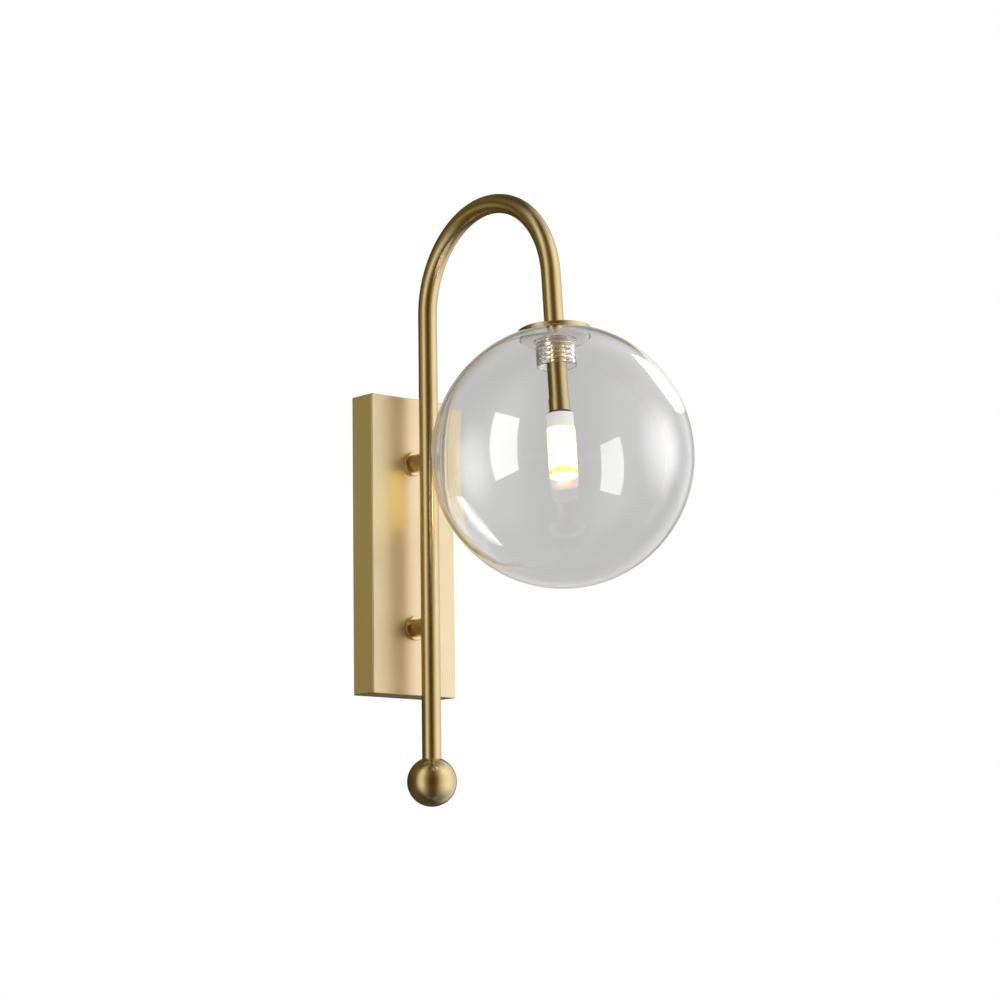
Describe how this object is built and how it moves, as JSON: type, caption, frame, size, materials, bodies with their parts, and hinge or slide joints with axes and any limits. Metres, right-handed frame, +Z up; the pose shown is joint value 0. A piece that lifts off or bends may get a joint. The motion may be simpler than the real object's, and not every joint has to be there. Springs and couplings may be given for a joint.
{
  "type": "globe wall sconce",
  "caption": "Wall light: flat brass backplate, hooked brass tube arm with a ball end, and a clear screw-on glass globe around a small plug-in bulb.",
  "frame": {"origin": "centre of the two wall-screw slots, on the wall face of the bracket", "axes": "+X to the right seen from the room, +Y into the wall, +Z up"},
  "size_m": [0.158, 0.2428, 0.3774],
  "materials": {
    "satin_brass": "brushed satin brass, clear lacquered",
    "plain_brass": "turned brass, bare",
    "zinc_steel": "zinc-plated steel",
    "clear_glass": "clear blown glass, polished, ground top land",
    "seal_silicone": "clear silicone",
    "holder_ceramic": "white steatite ceramic",
    "bulb_body": "white translucent plastic",
    "bulb_glow": "translucent cover, lit warm white",
    "led_board": "light-emitting chips on a white board",
    "black_plastic": "moulded black plastic",
    "white_plastic": "moulded white plastic",
    "circuit_board": "green circuit board with parts",
    "wire_red": "silicone insulation, red",
    "wire_black": "silicone insulation, black",
    "wire_brown": "insulation, brown",
    "wire_blue": "insulation, blue",
    "wire_green": "insulation, green",
    "grommet_rubber": "black rubber"
  },
  "bodies": {
    "fixture": {"backplate_cover": "satin_brass", "cover_screws": "satin_brass", "wall_bracket": "zinc_steel", "cable_grommet": "grommet_rubber", "upper_standoff_flange": "satin_brass", "lower_standoff_flange": "satin_brass", "upper_standoff_post": "satin_brass", "lower_standoff_post": "satin_brass", "standoff_nipples": "zinc_steel", "standoff_washers": "zinc_steel", "standoff_nuts": "zinc_steel", "wire_bushing": "black_plastic", "arm_tube": "satin_brass", "ball_finial": "satin_brass", "finial_stud": "zinc_steel", "lamp_nipple": "zinc_steel", "cap_disc": "satin_brass", "threaded_boss": "plain_brass", "socket_tube": "satin_brass", "socket_ferrule": "satin_brass", "lampholder": "holder_ceramic", "lampholder_contacts": "plain_brass", "driver_base": "white_plastic", "driver_case": "white_plastic", "driver_board": "circuit_board", "driver_screws": "zinc_steel", "terminal_block": "white_plastic", "terminal_clamp_screws": "zinc_steel", "terminal_fixing_screws": "zinc_steel", "earth_screw": "zinc_steel", "earth_ring_terminal": "zinc_steel", "earth_lead": "wire_green", "driver_lead_live": "wire_brown", "driver_lead_neutral": "wire_blue", "lamp_wire_positive": "wire_red", "lamp_wire_negative": "wire_black"},
    "globe": {"glass_globe": "clear_glass"},
    "seal": {"globe_seal": "seal_silicone"},
    "bulb": {"bulb_base": "bulb_body", "bulb_pins": "zinc_steel", "bulb_core": "led_board", "bulb_cover": "bulb_glow"}
  },
  "joints": [
    {"name": "globe_drop", "type": "slide", "parent": "fixture", "child": "seal", "axis": [0, -0.0698, -0.9976], "range_m": [0, 0.0075]},
    {"name": "globe_turn", "type": "hinge", "parent": "seal", "child": "globe", "pos_m": [0, -0.1638, 0.03658], "axis": [0, -0.0698, -0.9976], "range_deg": [0, 900]},
    {"name": "bulb_pull", "type": "slide", "parent": "fixture", "child": "bulb", "axis": [0, -0.0698, -0.9976], "range_m": [0, 0.012]}
  ],
  "couplings": [
    {"joint": "globe_drop", "follows": "globe_turn", "m_per_rad": 0.00047746}
  ]
}
